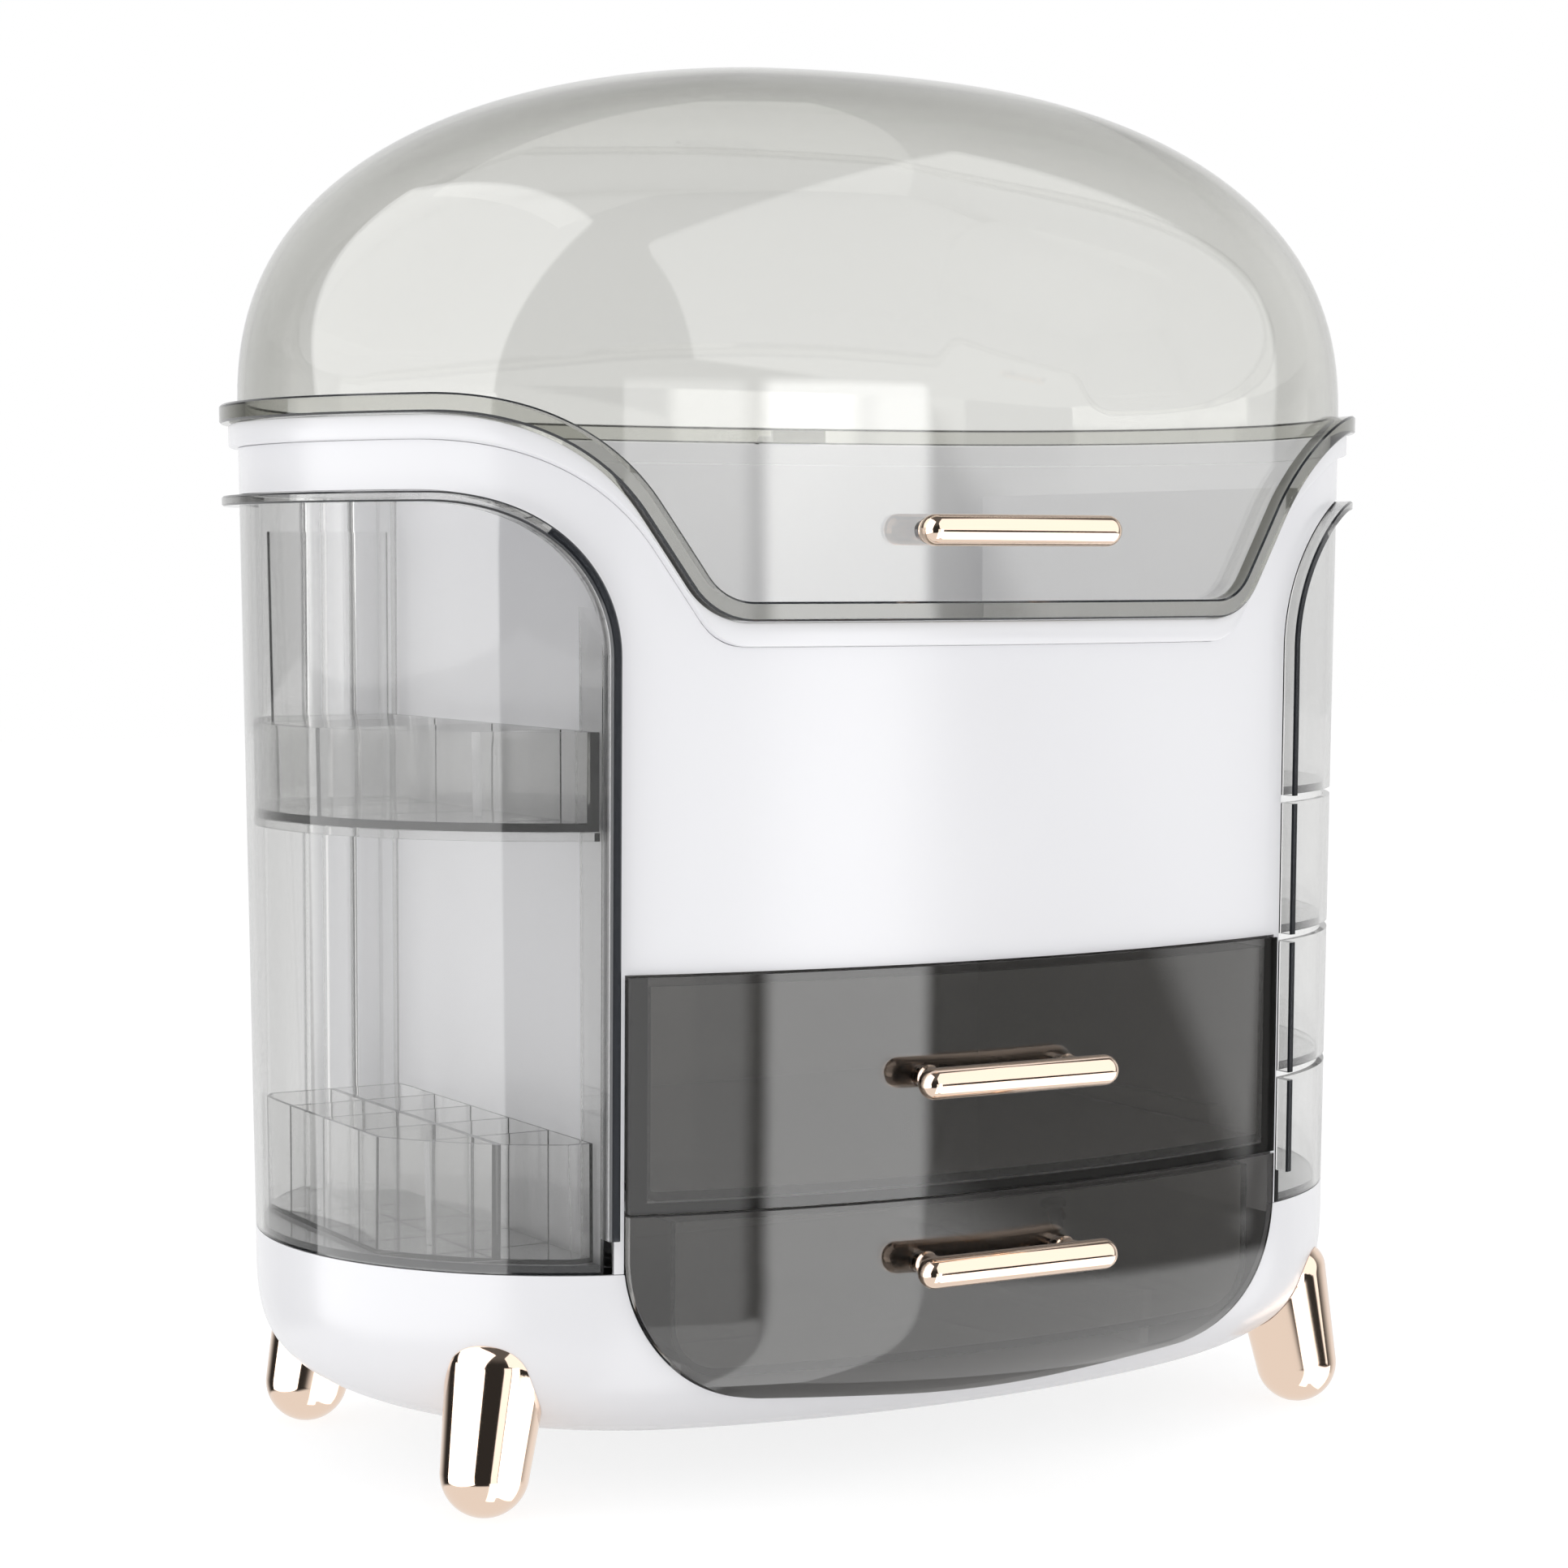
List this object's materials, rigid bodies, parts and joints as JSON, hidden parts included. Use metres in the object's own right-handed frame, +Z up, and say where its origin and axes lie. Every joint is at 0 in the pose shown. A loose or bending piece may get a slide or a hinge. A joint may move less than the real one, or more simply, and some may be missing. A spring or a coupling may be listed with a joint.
{
  "type": "makeup organizer box",
  "caption": "Oval makeup organizer box on splayed feet, with a clear domed lid, two smoked front drawers, a clear swing cabinet on the left and stacked swing trays on the right.",
  "frame": {"origin": "middle of the plan on the surface that the feet stand on", "axes": "+X to the user's right, -Y towards the user at the drawers, +Z up"},
  "size_m": [0.3462, 0.234, 0.3877],
  "materials": {
    "white_moulding": "gloss",
    "clear_dome": "clear, faint warm grey tint",
    "clear_side": "clear, faint grey tint",
    "smoked_drawer": "smoked, translucent",
    "rose_gold_plating": "polished rose gold plating",
    "steel": "plain",
    "hinge_plastic": "satin"
  },
  "bodies": {
    "cabinet": {"base_bowl": "white_moulding", "body_shell": "white_moulding", "rim_collar": "white_moulding", "left_bay_liner": "white_moulding", "right_bay_liner": "white_moulding", "well_floor": "white_moulding", "drawer_deck": "white_moulding", "upper_drawer_rails": "white_moulding", "lower_drawer_rails": "white_moulding", "foot_front_left": "rose_gold_plating", "foot_front_right": "rose_gold_plating", "foot_rear_left": "rose_gold_plating", "foot_rear_right": "rose_gold_plating", "foot_screws": "steel", "left_hinge_base": "hinge_plastic", "right_hinge_base": "hinge_plastic", "left_hinge_pin": "steel", "right_hinge_pin": "steel", "left_swing_rod": "steel", "right_swing_rod": "steel"},
    "lid": {"lid_dome": "clear_dome", "lid_handle": "rose_gold_plating", "lid_handle_screws": "steel", "left_hinge_leaf": "hinge_plastic", "right_hinge_leaf": "hinge_plastic"},
    "upper_drawer": {"upper_drawer": "smoked_drawer", "upper_drawer_handle": "rose_gold_plating", "upper_handle_screws": "steel"},
    "lower_drawer": {"lower_drawer": "smoked_drawer", "lower_drawer_handle": "rose_gold_plating", "lower_handle_screws": "steel"},
    "left_cabinet": {"left_cabinet_shell": "clear_side", "left_cabinet_tray": "clear_side", "left_back_board": "clear_side", "lipstick_rack": "clear_side"},
    "right_tray_top": {"right_tray_top": "clear_side"},
    "right_tray_upper": {"right_tray_upper": "clear_side"},
    "right_tray_middle": {"right_tray_middle": "clear_side"},
    "right_tray_lower": {"right_tray_lower": "clear_side"}
  },
  "joints": [
    {"name": "lid_hinge", "type": "hinge", "parent": "cabinet", "child": "lid", "pos_m": [0, 0.114, 0.28625], "axis": [-1, 0, 0], "range_deg": [0, 100]},
    {"name": "upper_drawer_slide", "type": "slide", "parent": "cabinet", "child": "upper_drawer", "axis": [0, -1, 0], "range_m": [0, 0.13]},
    {"name": "lower_drawer_slide", "type": "slide", "parent": "cabinet", "child": "lower_drawer", "axis": [0, -1, 0], "range_m": [0, 0.12]},
    {"name": "left_cabinet_swing", "type": "hinge", "parent": "cabinet", "child": "left_cabinet", "pos_m": [-0.12774, 0.06513, 0.065], "axis": [0, 0, -1], "range_deg": [0, 90]},
    {"name": "right_top_tray_swing", "type": "hinge", "parent": "cabinet", "child": "right_tray_top", "pos_m": [0.12774, 0.06513, 0.1822], "axis": [0, 0, 1], "range_deg": [0, 90]},
    {"name": "right_upper_tray_swing", "type": "hinge", "parent": "cabinet", "child": "right_tray_upper", "pos_m": [0.12774, 0.06513, 0.1426], "axis": [0, 0, 1], "range_deg": [0, 90]},
    {"name": "right_middle_tray_swing", "type": "hinge", "parent": "cabinet", "child": "right_tray_middle", "pos_m": [0.12774, 0.06513, 0.103], "axis": [0, 0, 1], "range_deg": [0, 90]},
    {"name": "right_lower_tray_swing", "type": "hinge", "parent": "cabinet", "child": "right_tray_lower", "pos_m": [0.12774, 0.06513, 0.065], "axis": [0, 0, 1], "range_deg": [0, 90]}
  ]
}
